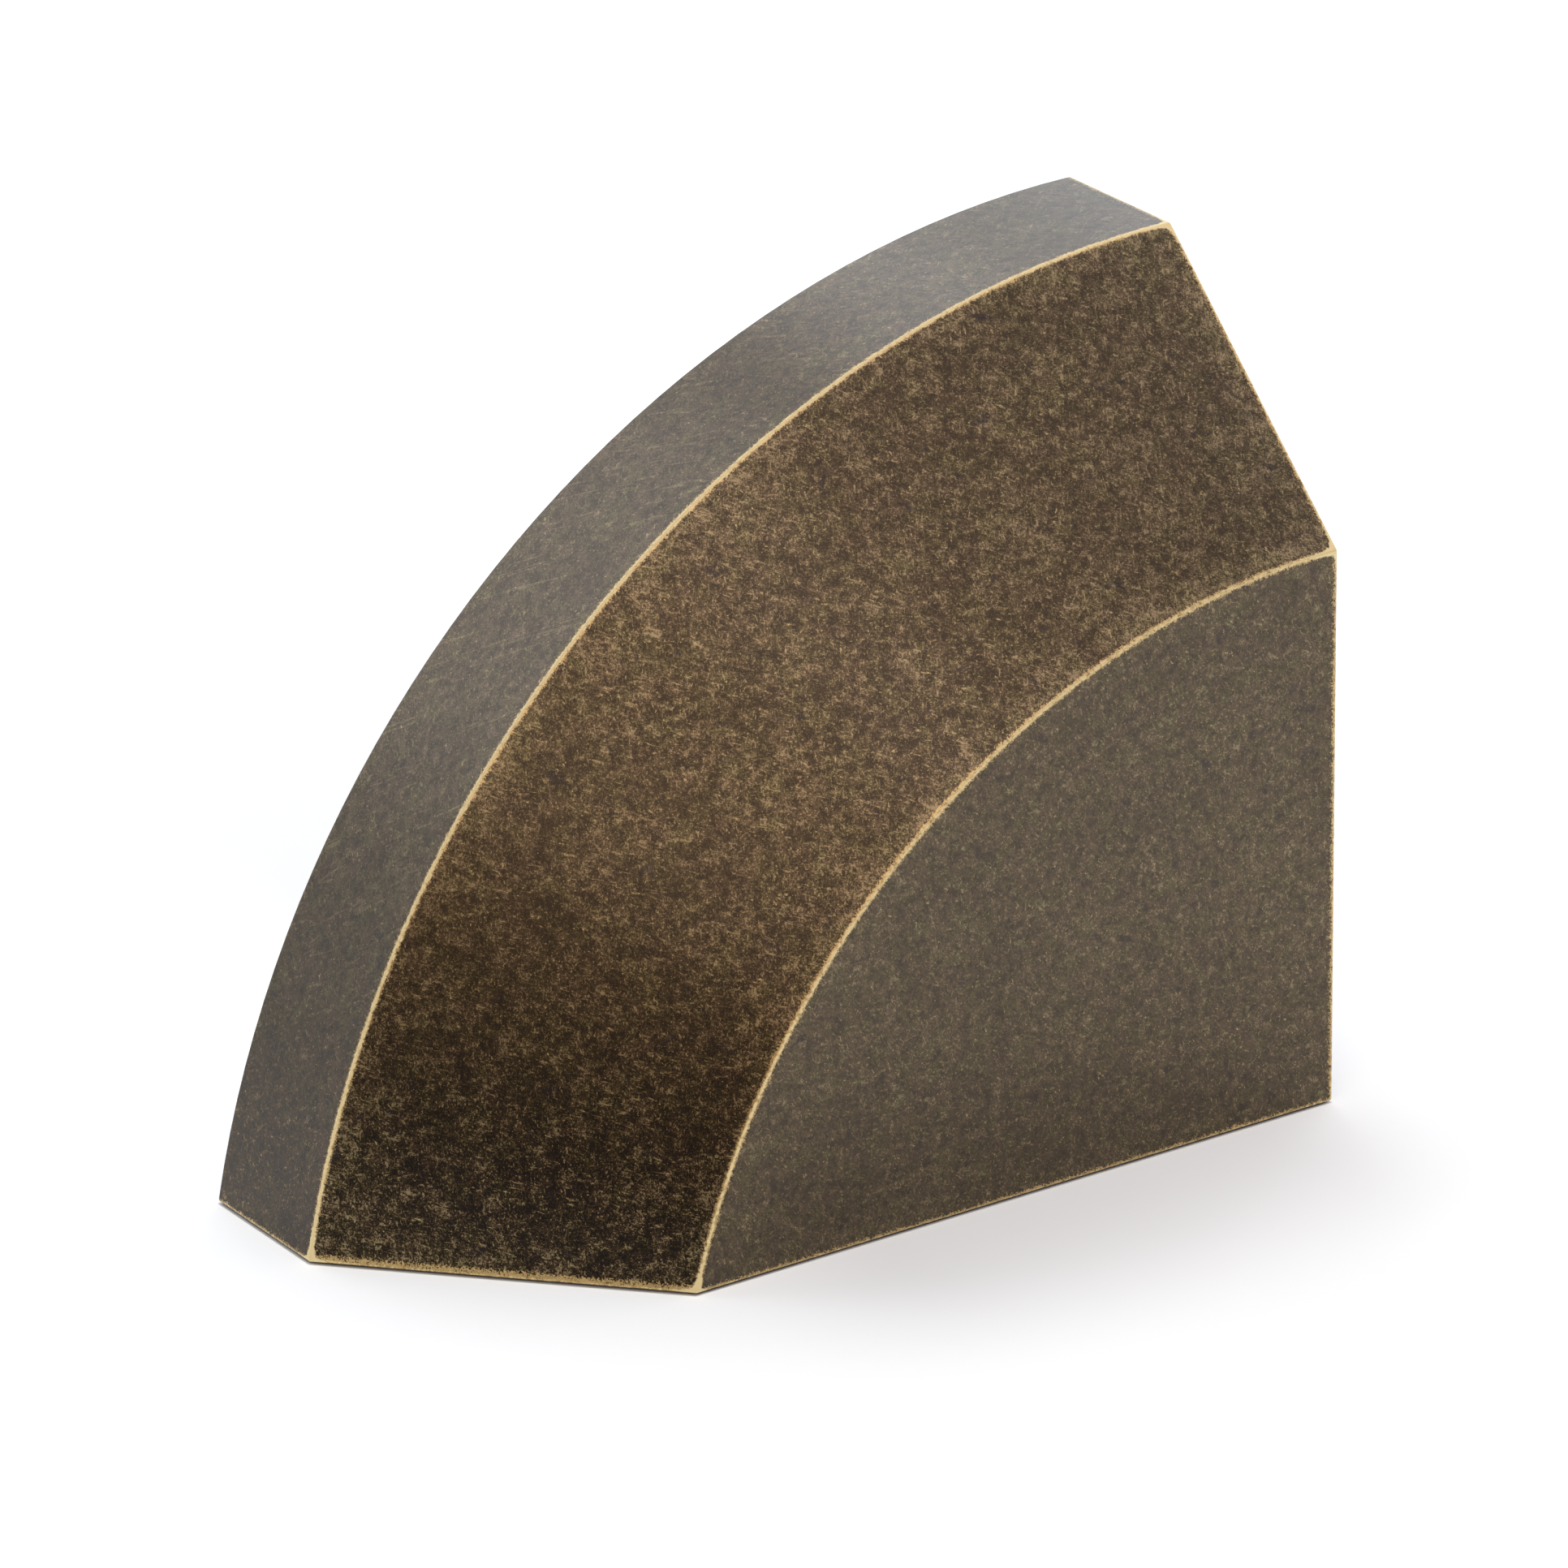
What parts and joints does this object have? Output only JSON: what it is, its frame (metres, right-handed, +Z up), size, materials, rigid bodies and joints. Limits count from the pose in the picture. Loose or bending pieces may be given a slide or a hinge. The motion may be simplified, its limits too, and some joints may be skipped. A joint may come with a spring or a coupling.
{
  "type": "door stop",
  "caption": "Free-standing weighted door stop: half-arch brass block with one conical bevel, rubber base pad and buffer.",
  "frame": {"origin": "on the floor under the pad, halfway along the casting's base and at its mid-depth", "axes": "+X towards the flat end face that takes the buffer, +Y towards the flat back, +Z up from the floor"},
  "size_m": [0.1039, 0.0434, 0.0828],
  "materials": {
    "aged_brass": "dark patina, edges worn bright",
    "cast_iron": "as cast",
    "packing_rubber": "matt sheet",
    "plate_steel": "zinc plated",
    "screw_steel": "zinc plated",
    "black_rubber": "matt moulded"
  },
  "bodies": {
    "root": {"casting": "aged_brass", "ballast_block": "cast_iron", "ballast_packing": "packing_rubber", "base_plate": "plate_steel", "base_screws": "screw_steel", "base_pad": "black_rubber", "buffer": "black_rubber", "buffer_washer": "screw_steel", "buffer_screw": "screw_steel"}
  },
  "joints": []
}
